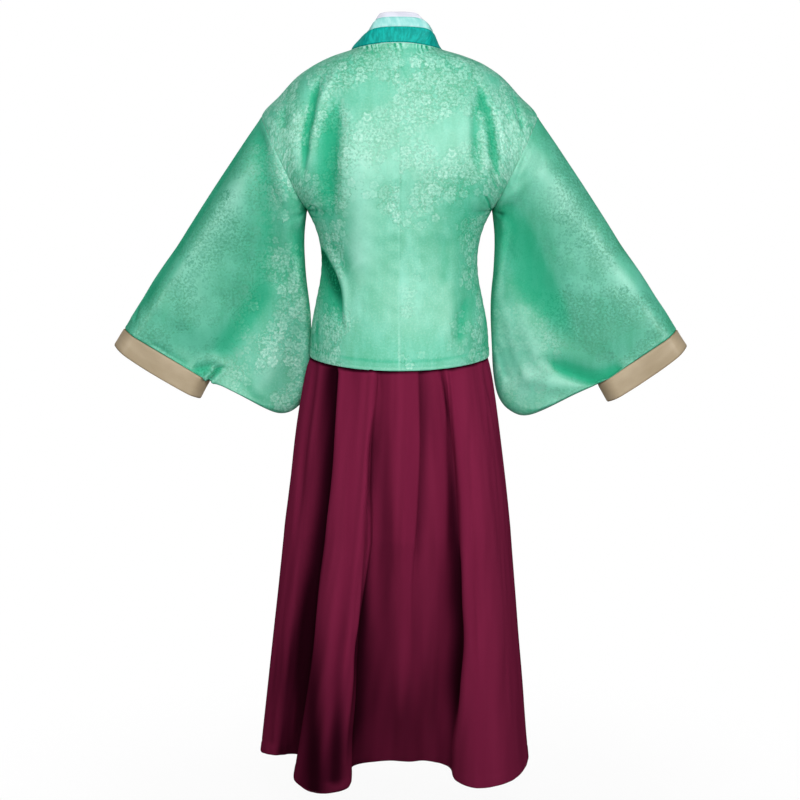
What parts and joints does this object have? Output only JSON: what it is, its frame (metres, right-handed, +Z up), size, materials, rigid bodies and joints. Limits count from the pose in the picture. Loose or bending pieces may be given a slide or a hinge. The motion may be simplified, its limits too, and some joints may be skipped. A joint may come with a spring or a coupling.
{
  "type": "kimono top and pleated skirt set",
  "caption": "A short wrapped kimono top with bag sleeves, banded cuffs and a layered crossed collar, over a long flared skirt of deep soft pleats, in its hollow worn form.",
  "frame": {"origin": "the middle of the neck's base on the shoulder line, where the set hangs from the wearer's shoulders", "axes": "+Z up, front towards -Y, back towards +Y, +X on the wearer's left"},
  "size_m": [1.0178, 0.368, 1.3011],
  "materials": {
    "jade_satin": "jade green satin jacquard",
    "cuff_satin": "beige satin",
    "collar_teal": "teal satin",
    "collar_aqua": "pale aqua satin",
    "collar_white": "white satin",
    "skirt_satin": "burgundy satin"
  },
  "bodies": {
    "root": {"top_back_left": "jade_satin", "top_back_right": "jade_satin", "top_front_left": "jade_satin", "top_front_right": "jade_satin", "sleeve_left": "jade_satin", "sleeve_right": "jade_satin", "cuff_left": "cuff_satin", "cuff_right": "cuff_satin", "collar_outer": "collar_teal", "collar_middle": "collar_aqua", "collar_inner": "collar_white", "skirt_waistband": "skirt_satin", "skirt_back": "skirt_satin", "skirt_front": "skirt_satin"}
  },
  "joints": []
}
